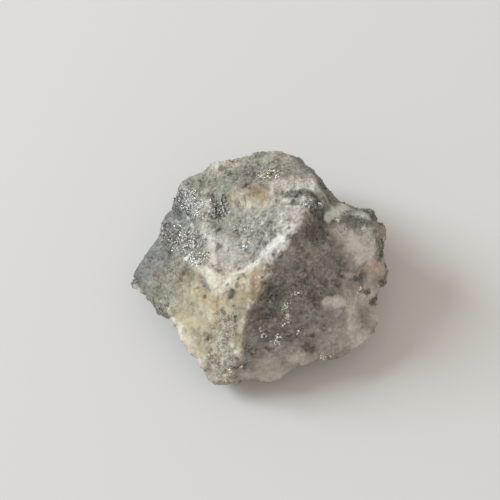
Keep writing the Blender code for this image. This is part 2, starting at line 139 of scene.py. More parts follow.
# Where each kind of rock lies, in patches. Each patch has how thickly it covers the ground,
# how far it reaches on either side in mm, and then the places of its run. A pair is a spot
# in the camera's view, so many to the right of its left edge and down from its top. A
# triple is a place in space, in mm, on a side that the camera doesn't see. Kinds that come
# later lie on top.
MINERALS = {
    "pale": [  # light grey rock: the hollow's floor, the top and the foot
        (0.6, 3, (-27, 4, 5), (-26, -8, 6)), (0.7, 6, (-10, -5, 0), (8, 4, 0)),
        (0.7, 4.4, (232, 212), (238, 218)), (0.8, 3.2, (228, 242), (222, 252)),
        (1, 2.8, (206, 261), (222, 262), (237, 261)), (1, 2.2, (203, 202), (206, 212), (204, 226)),
        (0.7, 2.4, (205, 234), (206, 246)), (0.6, 2.6, (254, 226), (248, 240)),
        (0.6, 2.5, (262, 222), (266, 236)), (1, 2.4, (278, 156), (294, 162)),
        (1, 2.8, (240, 161), (224, 167)), (0.6, 1.4, (184, 186), (190, 186)),
        (0.9, 2, (280, 203), (298, 204)), (0.9, 1.8, (278, 184), (300, 183)),
        (0.6, 1.6, (196, 222), (200, 229)), (0.8, 1.5, (284, 234), (289, 234)),
        (0.4, 1.4, (238, 314), (236, 322)), (0.4, 1.2, (343, 205), (347, 209)),
        (0.9, 2.6, (338, 238), (343, 232)), (0.3, 1.6, (322, 222), (326, 221)),
        (0.6, 1.8, (262, 166), (270, 158)), (1, 2.8, (207, 368), (216, 377), (226, 380)),
        (0.8, 2.2, (228, 372), (248, 377)),
    ],
    "umber": [  # brownish grey rock: most of the shaded face
        (0.7, 5, (24, 12, 8), (24, 11, 18)), (0.6, 5, (12, -12, 0), (20, -4, 2)),
        (0.95, 6, (290, 268), (300, 300), (290, 335)), (0.95, 6, (320, 250), (325, 285), (318, 330)),
        (0.95, 5, (264, 300), (258, 335), (272, 350)), (0.8, 3.2, (330, 285), (345, 285)),
        (0.8, 2.6, (362, 276), (372, 290)),
    ],
    "fine": [  # fine dark rock: the left face and the arm
        (1, 4.6, (140, 280), (160, 248)), (0.9, 3.6, (152, 284), (166, 262)),
        (0.8, 1.8, (168, 222), (174, 200), (184, 184)), (0.6, 3, (320, 190), (336, 206)),
        (0.7, 2.4, (347, 212), (350, 224)), (0.2, 1, (195, 357), (198, 360)), (0.3, 2, (374, 284)),
    ],
    "slate": [  # blue-grey rock
        (0.6, 5, (-14, 24, 12), (-8, 25, 18)), (0.6, 3, (24, 12, 14), (20, 14, 20)),
        (0.6, 5, (-12, 12, 0), (-4, 20, 2)), (0.7, 4, (166, 246), (176, 214), (190, 204)),
        (0.8, 3, (174, 238), (196, 246)), (1, 2.2, (174, 214), (186, 216)),
        (0.9, 2, (168, 236), (177, 232)), (0.6, 1.6, (174, 224), (188, 226)),
        (0.25, 1.4, (205, 364), (207, 370)), (0.8, 2.4, (300, 162), (308, 170)),
        (0.2, 2.4, (288, 168), (304, 174)), (0.7, 1.8, (316, 184), (322, 196)),
        (0.15, 3, (322, 192), (334, 204)), (0.7, 2.4, (316, 206), (326, 212), (322, 222)),
        (0.6, 2.2, (350, 214), (360, 216), (372, 220)), (0.5, 1.8, (336, 222), (346, 222)),
        (0.6, 2, (194, 176), (203, 173)), (0.7, 2.2, (342, 266), (352, 272)),
        (0.4, 2.2, (293, 264), (293, 274)), (0.7, 2.2, (250, 358), (250, 368)),
        (0.7, 2, (358, 276), (355, 284)), (0.7, 2.6, (310, 228), (318, 236)),
        (0.5, 1.8, (262, 326), (264, 338)), (0.25, 2, (340, 232), (346, 228)),
        (0.6, 1.6, (322, 314), (328, 312)),
    ],
    "olive": [  # greenish grey rock
        (0.6, 5, (4, 28, 10), (12, 26, 6)), (0.6, 4, (0, 12, 0), (10, 14, 0)),
        (1, 3, (200, 182), (214, 180), (224, 174)), (0.8, 2.6, (206, 190), (228, 188)),
        (0.7, 2.6, (264, 158), (273, 164)), (0.6, 2.4, (280, 164), (294, 164)),
        (0.9, 3.4, (160, 290), (178, 288)), (0.8, 3, (172, 266), (182, 276)),
        (1, 2.7, (187, 272), (192, 288)), (0.7, 1.8, (181, 260), (184, 266)),
        (0.5, 3, (312, 252), (318, 260)), (0.6, 2, (338, 260), (340, 268)),
        (0.6, 2.6, (262, 354), (272, 354)), (0.7, 2, (234, 286), (242, 290)),
        (0.5, 1.6, (241, 306), (241, 334)), (0.5, 3, (322, 336), (330, 342)),
        (0.4, 2.6, (314, 324), (322, 326)),
    ],
    "green": [  # dark green-grey rock, in the shade
        (0.6, 2, (216, 195), (229, 197)), (0.5, 2.6, (272, 286), (284, 288)),
        (0.6, 3, (270, 304), (280, 312)), (0.7, 1.8, (294, 264), (292, 272)),
        (0.5, 2.4, (312, 226), (318, 238)), (0.7, 1.6, (334, 262), (338, 268)),
        (0.7, 2.2, (322, 292), (328, 296)), (0.6, 1.4, (312, 318), (324, 318)),
        (0.4, 1.8, (322, 324), (326, 328)), (0.2, 1.4, (340, 228), (344, 234)),
    ],
    "brown": [  # rusty brown rock
        (0.5, 3, (-18, 20, 8), (-20, 16, 6)), (1, 2, (234, 172), (240, 176)),
        (1, 1.7, (244, 178), (258, 178)), (0.5, 2.4, (246, 166), (250, 172)),
        (0.7, 1.6, (262, 178), (274, 178)), (0.9, 1.3, (249, 183), (259, 185), (270, 185)),
        (0.8, 2.4, (252, 313), (256, 326)), (0.9, 2, (297, 238), (298, 250)),
        (0.9, 1.3, (303, 252), (305, 255)), (1, 2.8, (313, 294), (316, 304)),
        (0.6, 2.6, (286, 334), (300, 328)), (0.6, 3, (264, 326), (284, 330)),
        (0.45, 3, (168, 268), (190, 272)), (0.8, 1.3, (199, 275), (204, 283)),
        (0.7, 2.2, (306, 344), (312, 350)), (0.9, 3, (306, 281), (320, 284)),
        (0.5, 1.4, (230, 292), (234, 303)), (0.7, 1.2, (383, 264), (384, 270)),
        (0.6, 1.6, (264, 282), (264, 288)), (0.7, 1, (314, 316), (320, 317)),
        (0.6, 1.4, (336, 272), (342, 278)), (0.6, 1.4, (341, 314), (343, 322)),
    ],
    "mauve": [  # rock with a tinge of pink
        (0.8, 3, (296, 312), (308, 316)), (0.4, 1.8, (290, 282), (298, 294)),
        (0.7, 1.2, (303, 226), (304, 238)), (0.8, 2.8, (273, 264), (284, 262)),
        (0.7, 1.4, (255, 332), (253, 340)), (0.6, 2.2, (262, 345), (270, 350)),
        (0.6, 2.6, (304, 286), (308, 296)), (0.6, 2.6, (326, 262), (328, 276)),
        (0.6, 2, (292, 344), (300, 340)), (0.2, 2, (276, 330), (282, 328)),
    ],
    "dark": [  # dark seams and specks
        (0.6, 1.6, (0, 28, 16), (3, 27, 20)), (0.6, 1.6, (30, 2, 7), (28, 10, 8)),
        (0.95, 1.6, (180, 206), (183, 195)), (0.5, 1.8, (168, 238), (177, 232)),
        (0.5, 1.3, (165, 222), (163, 232)), (0.6, 1.2, (197, 216), (193, 221)),
        (0.5, 1.3, (190, 242), (196, 238)), (0.7, 1.2, (218, 212), (222, 206), (223, 212)),
        (0.7, 1, (171, 250), (171, 257)), (0.6, 0.9, (135, 279), (137, 284)),
        (0.6, 1.2, (203, 259), (208, 258)), (0.3, 1.3, (319, 200), (328, 202)),
        (0.9, 1.8, (315, 211), (321, 217)), (0.7, 2.2, (310, 228), (320, 234)),
        (0.6, 1.2, (326, 223), (332, 221)), (0.5, 2, (338, 252), (344, 260)),
        (0.6, 1.5, (353, 213), (358, 223)), (0.5, 1.6, (360, 222), (368, 222)),
        (0.8, 1.4, (371, 212), (376, 220)), (0.5, 0.9, (382, 223), (384, 227)),
        (0.8, 0.8, (382, 242), (382, 251)), (0.9, 0.8, (380, 256), (379, 260)),
        (0.6, 0.6, (365, 229), (369, 233)), (0.8, 1.8, (271, 291), (279, 294)),
        (0.7, 1.2, (264, 315), (271, 314)), (0.7, 1.6, (312, 294), (318, 300)),
        (0.7, 1.6, (300, 282), (306, 286)), (0.5, 1.4, (322, 291), (331, 294)),
        (0.8, 1.2, (340, 273), (345, 276)), (0.8, 1.5, (355, 277), (364, 277)),
        (0.6, 1, (354, 282), (355, 288)), (0.7, 1.2, (335, 282), (337, 284)),
        (0.9, 0.9, (381, 283), (379, 288)), (0.6, 0.8, (383, 274), (384, 278)),
        (0.4, 1.4, (238, 366), (246, 366)), (0.5, 1, (235, 376), (236, 372)),
        (0.8, 1.1, (247, 352), (252, 351)), (0.8, 0.9, (296, 264), (298, 267)),
        (0.7, 0.9, (302, 271), (304, 268)), (0.7, 0.9, (324, 282), (326, 283)), (0.6, 0.9, (314, 289)),
        (0.6, 1, (262, 312)), (0.7, 1, (263, 334), (265, 339)), (0.5, 1.4, (313, 206), (314, 222)),
        (0.7, 0.5, (212, 188)), (0.6, 0.5, (224, 182)),
    ],
    "ore": [  # dark pitted ore with bright grains
        (0.6, 2.4, (-4, 26, 20), (0, 28, 15)), (0.5, 2, (-24, 12, 9), (-26, 5, 9)),
        (0.6, 3.2, (182, 200), (200, 206)), (0.4, 3, (174, 234), (196, 242)),
        (0.4, 2.6, (210, 212), (222, 208)), (0.8, 1.6, (183, 204), (188, 196)),
        (0.7, 1.4, (190, 210), (200, 214)), (0.9, 1.7, (215, 215), (222, 204)),
        (0.7, 1.8, (186, 236), (194, 246)), (0.6, 1.5, (165, 228), (166, 236)),
        (0.6, 1.1, (304, 205), (315, 204)), (0.15, 1, (322, 197), (333, 203)),
        (0.4, 1.6, (352, 214), (372, 216)), (0.2, 2.2, (244, 226), (258, 232)),
        (0.5, 1.2, (260, 244), (266, 240)), (0.5, 1.2, (242, 244), (246, 246)),
    ],
    "brass": [  # clumps of brassy grains
        (1, 1.4, (264, 175), (274, 175)), (0.7, 1, (203, 253), (208, 257)),
        (0.4, 0.9, (286, 308), (286, 316)), (0.4, 0.6, (276, 340), (279, 338)),
        (0.6, 0.6, (323, 359), (330, 357)), (0.3, 0.8, (263, 336), (262, 331)),
        (0.3, 0.8, (294, 292), (298, 292)),
    ],
    "glitter": [  # clumps of silvery grains
        (1, 1.7, (193, 195), (194, 206)), (0.8, 1.3, (198, 211), (200, 206)),
        (0.5, 1.2, (181, 236), (183, 244)), (0.3, 2, (194, 236), (198, 246)),
        (0.7, 1.2, (192, 257), (199, 262)), (0.5, 0.9, (213, 217)), (0.6, 0.8, (188, 197)),
        (0.3, 1.6, (184, 250), (176, 246)), (0.6, 0.6, (276, 342), (279, 338)),
        (0.4, 0.7, (285, 304), (286, 312)), (0.4, 0.6, (263, 336)), (0.4, 0.6, (320, 286), (324, 289)),
        (1, 0.5, (288, 319), (287, 321)), (0.7, 0.4, (283, 324)), (0.9, 0.5, (364, 227), (364, 231)),
        (1, 0.6, (359, 289), (361, 290)), (0.6, 0.4, (361, 298)), (0.9, 0.5, (323, 359)),
        (1, 0.5, (337, 221)), (0.8, 0.7, (230, 371), (232, 373)), (0.6, 0.6, (230, 380)),
        (0.5, 0.4, (241, 369)), (0.6, 0.4, (298, 333)), (0.5, 0.8, (343, 227)), (0.5, 0.4, (253, 352)),
        (0.5, 0.6, (320, 206)), (0.5, 0.8, (244, 247)), (0.5, 0.8, (263, 244)),
    ],
    "sandy": [  # sugary light grains: the lower left face and the foot
        (0.8, 2.6, (214, 366), (224, 372)), (0.6, 3, (16, 18, 16), (17, 20, 9)),
        (0.5, 2.4, (21, 14, 6), (17, 20, 12)), (0.85, 3.2, (223, 328), (222, 345), (216, 364)),
        (0.7, 2.4, (228, 313), (232, 328)), (0.75, 2.2, (231, 336), (235, 356)),
        (0.2, 1.6, (240, 302), (242, 310)), (0.8, 2.2, (206, 332), (210, 350)),
        (0.8, 1.6, (192, 350), (198, 358)), (0.9, 2, (171, 308), (176, 316)),
        (0.8, 2.2, (220, 167), (232, 164)), (0.9, 1.6, (197, 357), (204, 366)),
        (0.5, 1.6, (232, 374), (242, 371)), (0.25, 2, (262, 262), (270, 266)),
        (0.3, 1.4, (335, 282), (338, 282)), (0.2, 1, (338, 282)), (0.5, 1.6, (374, 231), (384, 232)),
        (0.6, 1.6, (262, 268), (266, 272)), (0.5, 1.8, (224, 300), (230, 306)),
    ],
    "beige": [  # quartz stained beige: the left face under the lip, and the brow
        (1, 3.4, (197, 296), (206, 304), (211, 313)), (0.8, 2.8, (184, 322), (200, 324)),
        (0.6, 2.4, (184, 306), (192, 312)), (0.9, 2.2, (216, 296), (224, 302)),
        (1, 2.2, (241, 284), (250, 284)), (0.9, 1.8, (244, 296), (250, 290)),
        (0.5, 1.4, (255, 298), (262, 290)), (0.35, 1.2, (242, 310), (241, 318)),
        (0.5, 1.2, (234, 294), (242, 293)), (0.7, 1.8, (253, 272), (260, 268)),
        (0.8, 1.8, (228, 304), (235, 299)), (0.9, 2.2, (186, 338), (196, 348)),
        (0.5, 2.8, (208, 322), (208, 338)), (0.35, 1.6, (240, 336), (238, 346)),
        (0.6, 1.8, (178, 318), (176, 326)), (0.15, 1.8, (243, 300), (247, 308)),
        (0.85, 1.9, (236, 199), (246, 201), (260, 203)), (0.7, 1.4, (242, 197), (253, 196)),
        (0.6, 1, (206, 191)), (0.3, 1.2, (262, 188), (269, 189)), (0.5, 1.4, (205, 270), (197, 268)),
    ],
    "stain": [  # the deepest stain
        (0.4, 1.8, (-10, 25, 7), (-7, 25, 12)), (0.8, 1.4, (255, 191), (262, 193)),
        (0.85, 1.2, (262, 196), (267, 199)), (0.12, 1.4, (378, 229), (384, 234)),
        (0.8, 1.5, (253, 284), (255, 291)), (0.25, 3, (180, 284), (192, 278)),
        (0.2, 1.4, (241, 301), (240, 318), (240, 334)), (0.8, 1.5, (252, 274), (259, 275)),
        (0.4, 2.8, (202, 300), (208, 312)), (0.3, 1.6, (234, 344), (238, 336)),
        (0.4, 1.4, (246, 296), (250, 294)),
    ],
    "pink": [  # quartz stained pink
        (0.8, 0.7, (256, 277), (262, 279), (266, 276)), (0.6, 0.9, (255, 283), (256, 290)),
        (0.75, 2.2, (369, 265), (379, 268)), (0.35, 2, (362, 268), (368, 272)),
        (0.4, 1.4, (296, 216), (300, 220)),
    ],
    "quartz_and_painted_light": [  # grey quartz
        (0.6, 2.4, (8, 23, 24), (10, 25, 17), (7, 28, 11), (9, 26, 6)),
        (0.6, 2, (-20, 18, 10), (-22, 12, 5)), (0.6, 3, (27, 4, 4), (24, -12, 4)),
        (0.7, 2.4, (-4, -14, 0), (4, -4, 0), (14, 4, 0)), (0.35, 2, (279, 214), (298, 215)),
        # Painted light: the run from (213, 262) to (234, 263) lightens the hollow's floor, which faces
        # away from the window.
        (0.7, 1.4, (300, 210), (303, 219)), (1, 1.8, (213, 262), (223, 265), (234, 263)),
        (0.3, 2.2, (272, 256), (284, 256), (292, 264)), (0.6, 2.2, (341, 234), (344, 245)),
        (0.5, 1.8, (290, 178), (312, 176)), (0.35, 1.6, (240, 194), (242, 206)),
        (0.45, 2.2, (236, 209), (250, 210), (266, 210)), (0.8, 2, (278, 186), (296, 186), (311, 187)),
        (0.35, 2.4, (290, 165), (294, 175)), (0.8, 3.6, (350, 291), (352, 308), (347, 325)),
        (0.7, 1.8, (328, 303), (338, 303)), (0.65, 3.6, (334, 338), (350, 338)),
        (0.5, 3, (318, 336), (322, 348)), (0.4, 3, (270, 352), (296, 348)),
        (1, 2.6, (358, 346), (364, 336)), (0.8, 2, (374, 310), (373, 320)),
        (1, 3, (264, 370), (278, 370)), (1, 2, (270, 378), (262, 376)),
        (0.9, 2.2, (290, 360), (308, 356)), (0.8, 1.8, (246, 376), (254, 374)),
        (0.95, 2.2, (374, 292), (368, 302)), (0.5, 1, (383, 262), (383, 272)),
        (0.7, 1.6, (366, 284), (372, 280)), (0.5, 1.6, (352, 264), (356, 266)),
        (0.5, 1.5, (337, 323), (346, 327)),
    ],
    "milky": [  # milky quartz
        (1, 3, (357, 243), (366, 246), (362, 256)), (1, 2.1, (371, 242), (371, 255)),
        (0.5, 1.8, (346, 244), (348, 252)), (1, 2, (363, 334), (361, 345)),
        (1, 2.1, (352, 302), (352, 320)), (0.8, 1.2, (327, 302), (343, 301)),
        (0.5, 1, (350, 330), (356, 340)), (0.8, 1.6, (361, 293), (363, 305)),
        (0.6, 1.2, (374, 309), (376, 316)), (0.5, 1.2, (372, 296), (371, 306)),
        (0.5, 1.3, (371, 236), (373, 248)), (0.7, 1.3, (360, 345), (368, 334)),
        (0.4, 1, (352, 251), (353, 257)), (0.4, 1.2, (361, 213), (366, 216)),
        (0.4, 1.4, (284, 242), (284, 248)), (0.7, 2.6, (213, 244), (217, 256)),
        (0.2, 1.4, (281, 218), (286, 216)), (0.6, 1, (356, 347), (361, 345)),
        (0.5, 1.4, (222, 240), (226, 246)), (0.7, 1.5, (218, 263), (226, 265)),
        (0.5, 1.2, (218, 164), (226, 163)), (0.5, 0.5, (342, 273), (350, 275), (358, 274)),
        (0.5, 1.4, (295, 358), (300, 354)), (0.16, 1.8, (242, 244), (243, 255)),
    ],
    "cream": [  # crushed quartz, cream: the lip of the hollow
        (0.5, 1.5, (243, 196), (247, 204)), (0.35, 1.2, (193, 264), (204, 267)),
        (1, 1.3, (210, 269), (215, 276), (218, 285)), (1, 2.4, (214, 281), (228, 281)),
        (0.85, 1.5, (227, 276), (240, 271)), (0.8, 1.4, (217, 290), (222, 294)),
        (0.9, 1.5, (240, 272), (250, 268)), (0.5, 1.3, (270, 249), (277, 243)),
        (0.25, 0.8, (264, 261), (271, 259)), (0.9, 1.4, (179, 328), (180, 335)),
        (0.7, 1.5, (189, 338), (192, 347), (195, 355)), (0.5, 1.1, (277, 223), (290, 224)),
        (0.45, 0.8, (161, 304), (170, 312)), (0.8, 1.2, (191, 352), (201, 364)),
        (0.5, 1, (273, 189), (273, 196)), (0.25, 1.4, (280, 185), (288, 185)),
        (0.35, 1.6, (196, 298), (203, 312)), (0.8, 0.7, (243, 192)), (0.6, 0.6, (247, 190)),
        (0.4, 0.7, (255, 296), (258, 290)), (0.5, 0.5, (249, 308)), (0.5, 0.6, (243, 320), (240, 331)),
        (0.4, 1.2, (206, 308), (210, 316)), (0.5, 1.2, (246, 284), (247, 288)), (0.5, 0.7, (240, 349)),
        (0.5, 0.6, (136, 287), (140, 291)), (0.5, 0.7, (384, 239)),
    ],
    # Crushed quartz, and painted glints: the small white spots in the shade and at (232, 345) and (236,
    # 351).
    "white_and_painted_glints": [  # crushed quartz, white: the lip, the vein at the top, and flecks
        (0.7, 1.3, (8, 23, 24), (10, 25, 17), (7, 28, 11), (9, 26, 6)), (1, 0.5, (360, 289), (362, 290)),
        (1, 0.4, (323, 359)), (0.9, 0.4, (337, 221)), (0.9, 0.4, (364, 228), (365, 231)),
        (0.9, 1.4, (247, 266), (258, 261)), (0.6, 1.4, (259, 258), (268, 253)),
        (0.9, 1.3, (272, 246), (281, 239)), (0.6, 1.2, (286, 229), (293, 228)),
        (0.35, 1.2, (266, 240), (276, 232)), (1, 2.1, (288, 185), (300, 184), (311, 186)),
        (0.6, 0.8, (281, 199), (292, 201)), (0.8, 0.6, (300, 196), (304, 201)),
        (0.5, 0.6, (288, 206), (298, 207)), (0.7, 0.6, (283, 188), (285, 189)),
        (0.8, 0.4, (187, 217), (189, 220)), (0.8, 0.4, (191, 223), (193, 227)),
        (1, 0.7, (185, 258), (189, 256)), (0.8, 0.5, (173, 319), (175, 321)), (0.9, 0.6, (232, 345)),
        (0.9, 0.6, (236, 351), (239, 354)), (0.8, 0.7, (206, 359)),
        (0.5, 0.8, (330, 217), (337, 213), (344, 206)), (0.9, 0.5, (279, 251)),
        (0.3, 0.8, (282, 222), (283, 214)), (0.5, 0.8, (231, 371)), (0.5, 0.4, (221, 343)),
        (0.5, 0.4, (226, 338)), (0.5, 0.4, (212, 346)), (0.6, 0.5, (212, 368)), (0.5, 0.5, (256, 218)),
        (0.5, 0.5, (262, 223)), (0.5, 1.4, (202, 229), (204, 238)), (0.5, 1.5, (193, 203), (206, 205)),
        (0.8, 1.9, (366, 237), (374, 250)),
    ],
    "frosty": [  # cold white quartz: the streak on the arm
        (0.95, 1.3, (329, 217), (336, 212), (344, 206)), (0.45, 1.1, (349, 211), (355, 214)),
        (0.4, 1.1, (360, 215), (367, 217)), (0.35, 1.6, (335, 229), (345, 234)),
        (0.2, 2, (314, 192), (326, 197)), (0.4, 0.9, (343, 205), (345, 212)),
        (0.4, 1.2, (180, 222), (186, 226)),
    ],
    # Dark glassy quartz, and painted shade: the patch from (361, 312) to (364, 325) darkens a hollow.
    "smoky_and_painted_shade": [  # dark glassy quartz
        (0.55, 2.3, (361, 312), (364, 325)), (0.6, 1.6, (314, 316), (330, 319)),
        (0.6, 1, (321, 323), (326, 329)), (0.6, 1.2, (341, 312), (344, 321)),
        (0.5, 1.4, (334, 346), (344, 350)), (0.5, 1.4, (348, 262), (354, 268)), (0.5, 1, (374, 284)),
        (0.4, 2.6, (318, 342), (326, 350)), (0.5, 1.2, (367, 309)), (0.4, 1.6, (346, 298), (350, 300)),
        (0.5, 1, (296, 366), (284, 366)), (0.4, 1.4, (376, 326), (372, 332)),
    ],
    # Black specks, and painted shade: the dark strip along the crest and the line at (220, 195).
    "specks_and_painted_shade": [  # black specks
        # Painted shade: the faint dark strip along the crest, from (243, 303) to (242, 334).
        (0.12, 1.3, (243, 303), (242, 318), (242, 334)), (0.9, 2.3, (173, 236), (190, 243)),
        (0.35, 1.8, (178, 212), (184, 226)), (0.3, 1.6, (170, 238), (174, 248)),
        (0.12, 1.3, (220, 195), (228, 195)), (0.3, 1.3, (238, 262), (244, 261)),
        (0.2, 1.2, (212, 325), (221, 324)), (0.15, 1.4, (254, 326), (262, 322)),
        (0.45, 1.5, (237, 173), (257, 177)), (0.15, 1.5, (252, 192), (266, 193)),
        (0.3, 1.2, (302, 212), (303, 218)), (0.3, 1, (340, 248), (342, 256)),
        (0.35, 1.6, (190, 243), (197, 247)), (0.25, 2, (196, 182), (210, 184)),
        (0.35, 1.3, (182, 196), (181, 205)), (0.25, 2, (234, 224), (242, 226)), (0.25, 1.6, (232, 244)),
        (0.3, 1.2, (263, 272), (264, 262)), (0.25, 2.2, (284, 336), (296, 342)),
        (0.25, 1.6, (313, 306), (313, 316)), (0.2, 1.6, (332, 334)), (0.25, 1.6, (352, 284), (352, 293)),
        (0.9, 0.45, (204, 297)), (0.7, 0.45, (209, 290)), (0.25, 0.9, (201, 280), (202, 277)),
        (0.9, 0.5, (237, 285)), (0.8, 0.45, (239, 279)), (0.9, 0.45, (274, 255)),
        (0.7, 0.45, (289, 237), (288, 250)), (0.8, 0.4, (289, 228)), (0.6, 0.6, (267, 265)),
        (0.8, 0.6, (293, 201), (297, 203)), (0.7, 0.5, (302, 209)), (0.6, 0.6, (278, 201)),
        (0.7, 0.5, (305, 212), (307, 217)), (0.7, 0.7, (163, 309), (166, 312)),
        (0.6, 0.7, (227, 336), (226, 330)), (0.5, 0.8, (213, 361), (219, 360)),
        (0.5, 0.7, (188, 272), (186, 269)), (0.5, 0.6, (224, 312), (222, 310)),
        (0.5, 0.7, (322, 326), (325, 329)), (0.6, 0.7, (267, 348), (270, 349)),
        (0.7, 0.9, (268, 223), (272, 223)), (0.7, 0.9, (271, 233), (273, 236)), (0.7, 0.7, (240, 269)),
        (0.9, 0.9, (371, 303), (376, 300)), (0.9, 0.6, (362, 292), (369, 292)), (0.9, 0.8, (312, 336)),
        (0.8, 1.2, (306, 346), (312, 349)), (0.3, 0.7, (276, 191), (277, 195)),
        (0.85, 1.1, (287, 194), (298, 194), (308, 192), (316, 198)),
        # Painted shadow: the thin dark line along the groove under the hollow, in the next three runs.
        (0.35, 0.6, (206, 262), (214, 268), (222, 273)), (0.25, 0.5, (222, 271), (234, 271), (241, 267)),
        (0.5, 0.7, (241, 270), (250, 262), (258, 256)), (0.9, 0.4, (262, 277)),
        (0.6, 0.7, (232, 291), (231, 297)), (0.6, 0.6, (234, 307)), (0.5, 0.6, (284, 192)),
        (0.6, 0.5, (303, 202), (309, 202)), (0.5, 0.6, (290, 204)), (0.6, 0.6, (221, 246)),
        (0.6, 0.5, (168, 268)), (0.7, 0.5, (160, 305), (169, 305)), (0.6, 0.6, (265, 213), (262, 215)),
        (0.5, 0.7, (206, 334), (207, 338)), (0.6, 0.5, (228, 285)), (0.5, 0.5, (218, 313)),
        (0.6, 0.6, (281, 253), (280, 257)), (0.5, 0.5, (263, 261)), (0.5, 0.6, (238, 205), (237, 202)),
        (0.3, 0.7, (355, 229), (357, 233)),
    ],
}

# How rough each breaks, where the grey rock has 1.
ROUGHNESS = {"pale": 0.5, "umber": 0.9, "fine": 0.4, "slate": 0.35, "olive": 0.55, "green": 0.7,
             "brown": 0.9, "mauve": 0.6, "dark": 1.0, "ore": 1.4, "brass": 1.6, "glitter": 1.4,
             "sandy": 0.8, "beige": 0.25, "stain": 0.2, "pink": 0.35, "quartz_and_painted_light": 0.35,
             "milky": 0.3, "cream": 0.3, "white_and_painted_glints": 0.6, "frosty": 0.5, "smoky_and_painted_shade": 0.4, "specks_and_painted_shade": 0.9}
PATCH_RIM = (0.4, 1.6)  # where a patch starts to thin out and where it ends, over its reach
PATCH_WANDER = 0.4  # how far its rim strays, over its reach
PATCH_BAYS = [(2.4, 1.0, 9.1), (0.96, 0.5, 0.0)]  # the rim's noises: length, weight, shift, mm
ROUGHNESS_GAIN = 1.6  # a patch is as rough as its mineral well inside its rim

# The lip of the hollow, the groove inside it and the crest, as runs of spots in the camera's
# view, with how far each rises or sinks and how far it reaches, in mm.
LIP = [(296, 229), (280, 246), (262, 262), (245, 273), (231, 280), (222, 291), (209, 280),
       (198, 266)]
LIP_RISE, LIP_REACH = 0.3, 1.4
GROOVE = [(207, 247), (214, 267), (227, 275), (241, 273), (256, 262), (273, 245)]
GROOVE_DEPTH, GROOVE_REACH = 0.25, 0.8
CREST = [(303, 214), (296, 230), (289, 242), (279, 257), (268, 265), (262, 277), (259, 290),
         (252, 301), (249, 312), (245, 325), (242, 338), (243, 350)]
CREST_RISE, CREST_REACH = 0.28, 1.5

# Where the break stands in or out of the solid's plain faces: rise, reach and run, in mm.
SWELLS = [
    (-1.3, 5.0, (15.5, 13.5, 29.0), (19.0, 9.5, 28.0)),
    (0.9, 1.6, (-32.5, -4.5, 8.5)),
    (-0.5, 3.0, (-15.5, -25.5, 8.0), (-13.5, -27.5, 7.5)),
    (-0.35, 3.2, (24.7, -13.3, 13.8), (25.4, -17.0, 12.3)),
    (0.8, 3.0, (-14.0, 19.5, 22.5), (-11.5, 20.5, 24.5)),
    (0.5, 2.6, (-11.0, -29.5, 6.0), (-9.0, -29.5, 6.0)),
]

# The broken relief, from large chips to single grains. Rock with a roughness of 0 would
# keep these shares of the chips and the waves, and none of the grains.
CHIPS = [(3.6, 0.14), (1.9, 0.13)]  # leaning facets: spacing, slope
CHIPS_KEPT = 0.65
WAVES = [(2.6, 0.15), (1.3, 0.08)]  # length and rise, mm
WAVES_KEPT = 0.3
GRAINS = [(1.2, 0.12), (0.8, 0.07)]  # domes: spacing and rise, mm
GRAIN_SHAKE = 0.4  # how far a grain's middle strays from its cell's, over the spacing
GRAIN_DOME = 0.5  # a dome's top, over its rise
PITS = (1.5, 0.4, 3.3)  # spacing, depth and shift of their noise, mm
PIT_LEAST = 0.1  # of grains numbered from -1 to 1, those above this are pits
PIT_WALL = (0.1, 0.6)  # between these distances from its middle a pit rises, over the spacing
SEAT_RISE = (0.0, 1.2)  # the relief grows between these heights over the resting face, mm

# The numbers that a cell of noise is mixed with. Each salt gives it other fixed numbers.
CELL_PRIMES = (73856093, 19349663, 83492791)
MIXING_PRIME = 1274126177
SHAKE_SALTS, LEAN_SALTS, NUMBER_SALT = (11, 47, 83), (131, 173, 211), 257


def ball_grid(cells, radius, middle):
    """A closed ball of quads: a cube's skin whose two parameters on each side are
    turned into angles, so that the cells come out nearly equal, then pushed to radius."""
    step = np.indices((cells + 1,) * 3)
    skin = ((step == 0) | (step == cells)).any(axis=0)
    number = np.full(skin.shape, -1)
    number[skin] = np.arange(skin.sum())
    way = np.tan((2 * step[:, skin].T / cells - 1) * np.pi / 4)
    places = way / np.linalg.norm(way, axis=1)[:, None] * radius + middle
    quads = []
    for axis in range(3):
        for end in (0, cells):
            side = np.take(number, end, axis=axis)
            quad = np.stack([side[:-1, :-1], side[1:, :-1], side[1:, 1:], side[:-1, 1:]], axis=-1)
            turned = (end == 0) != (axis == 1)
            quads.append(quad[..., ::-1].reshape(-1, 4) if turned else quad.reshape(-1, 4))
    return places, np.concatenate(quads)


def new_piece(name, places, faces):
    """A piece from an array of places in mm and an array of faces of one size."""
    mesh = bpy.data.meshes.new(name)
    corners = faces.shape[1]
    mesh.vertices.add(len(places))
    mesh.vertices.foreach_set("co", (places * MM).astype(np.float32).ravel())
    mesh.loops.add(faces.size)
    mesh.loops.foreach_set("vertex_index", faces.astype(np.int32).ravel())
    mesh.polygons.add(len(faces))
    mesh.polygons.foreach_set("loop_start", np.arange(0, faces.size, corners, dtype=np.int32))
    mesh.update(calc_edges=True)
    piece = bpy.data.objects.new(name, mesh)
    bpy.context.scene.collection.objects.link(piece)
    return piece


def merged_copy(node):
    """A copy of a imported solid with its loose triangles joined, rounded by subdivision."""
    copy = bpy.data.objects.new("guide", node.data.copy())
    bpy.context.scene.collection.objects.link(copy)
    joined = bmesh.new()
    joined.from_mesh(copy.data)
    bmesh.ops.remove_doubles(joined, verts=joined.verts, dist=MERGE_DISTANCE)
    joined.to_mesh(copy.data)
    joined.free()
    smooth = copy.modifiers.new("smooth", "SUBSURF")
    smooth.levels = smooth.render_levels = GUIDE_LEVELS
    return copy


